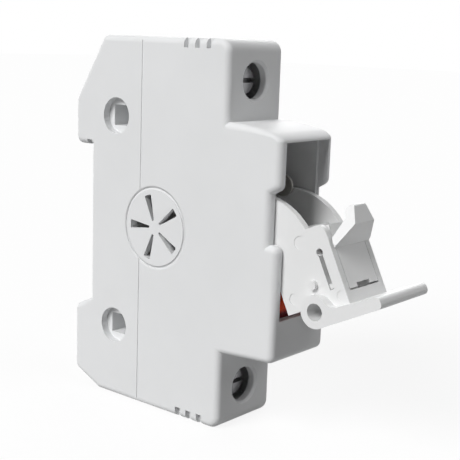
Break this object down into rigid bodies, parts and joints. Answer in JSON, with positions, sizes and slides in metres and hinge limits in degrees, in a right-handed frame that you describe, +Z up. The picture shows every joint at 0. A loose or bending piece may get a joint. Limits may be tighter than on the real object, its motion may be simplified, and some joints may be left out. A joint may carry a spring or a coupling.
{
  "type": "din rail fuse holder",
  "caption": "Slim one-module rail-mounted fuse holder in pale plastic, with its fuse carrier swung open, screw terminals at both ends and a vented side.",
  "frame": {"origin": "middle of the flat seat that bears on the rail, on the rail's centre line", "axes": "+Z up along the holder's height, -Y out of the front towards the user, X across the width"},
  "size_m": [0.018, 0.0832, 0.082],
  "materials": {
    "housing_plastic": "fine matt",
    "carrier_plastic": "satin",
    "contact_metal": "tin plated",
    "steel": "zinc plated",
    "red_plastic": "moulded"
  },
  "bodies": {
    "housing": {"housing_body": "housing_plastic", "housing_cover": "housing_plastic", "carrier_pin": "steel", "upper_contact": "contact_metal", "lower_contact": "contact_metal", "upper_jaw_spring": "steel", "lower_jaw_spring": "steel", "rail_clip_spring": "steel", "red_insert": "red_plastic"},
    "carrier": {"fuse_carrier": "carrier_plastic"},
    "gate": {"fuse_gate": "carrier_plastic"},
    "rail_clip": {"rail_clip": "housing_plastic"},
    "upper_screw": {"upper_terminal_screw": "steel"},
    "upper_cage": {"upper_terminal_cage": "steel"},
    "lower_screw": {"lower_terminal_screw": "steel"},
    "lower_cage": {"lower_terminal_cage": "steel"}
  },
  "joints": [
    {"name": "carrier_hinge", "type": "hinge", "parent": "housing", "child": "carrier", "pos_m": [0, -0.047, -0.00424], "axis": [-1, 0, 0], "range_deg": [0, 63.6]},
    {"name": "gate_slide", "type": "slide", "parent": "carrier", "child": "gate", "axis": [0, 0.4446, 0.8957], "range_m": [0, 0.0053]},
    {"name": "rail_clip_slide", "type": "slide", "parent": "housing", "child": "rail_clip", "axis": [0, 0, -1], "range_m": [0, 0.003], "stiffness_N_per_m": 1500, "springref_m": -0.001, "deforming": ["rail_clip_spring"]},
    {"name": "upper_screw_turn", "type": "hinge", "parent": "housing", "child": "upper_screw", "pos_m": [0, -0.0325, 0.03295], "axis": [0, 1, 0], "range_deg": [0, 1260]},
    {"name": "upper_cage_slide", "type": "slide", "parent": "housing", "child": "upper_cage", "axis": [0, -1, 0], "range_m": [0, 0.0028]},
    {"name": "lower_screw_turn", "type": "hinge", "parent": "housing", "child": "lower_screw", "pos_m": [0, -0.0325, -0.0325], "axis": [0, 1, 0], "range_deg": [0, 1260]},
    {"name": "lower_cage_slide", "type": "slide", "parent": "housing", "child": "lower_cage", "axis": [0, -1, 0], "range_m": [0, 0.0028]}
  ],
  "couplings": [
    {"joint": "upper_screw_turn", "follows": "upper_cage_slide", "rad_per_m": 7853.9},
    {"joint": "lower_screw_turn", "follows": "lower_cage_slide", "rad_per_m": 7853.9}
  ]
}
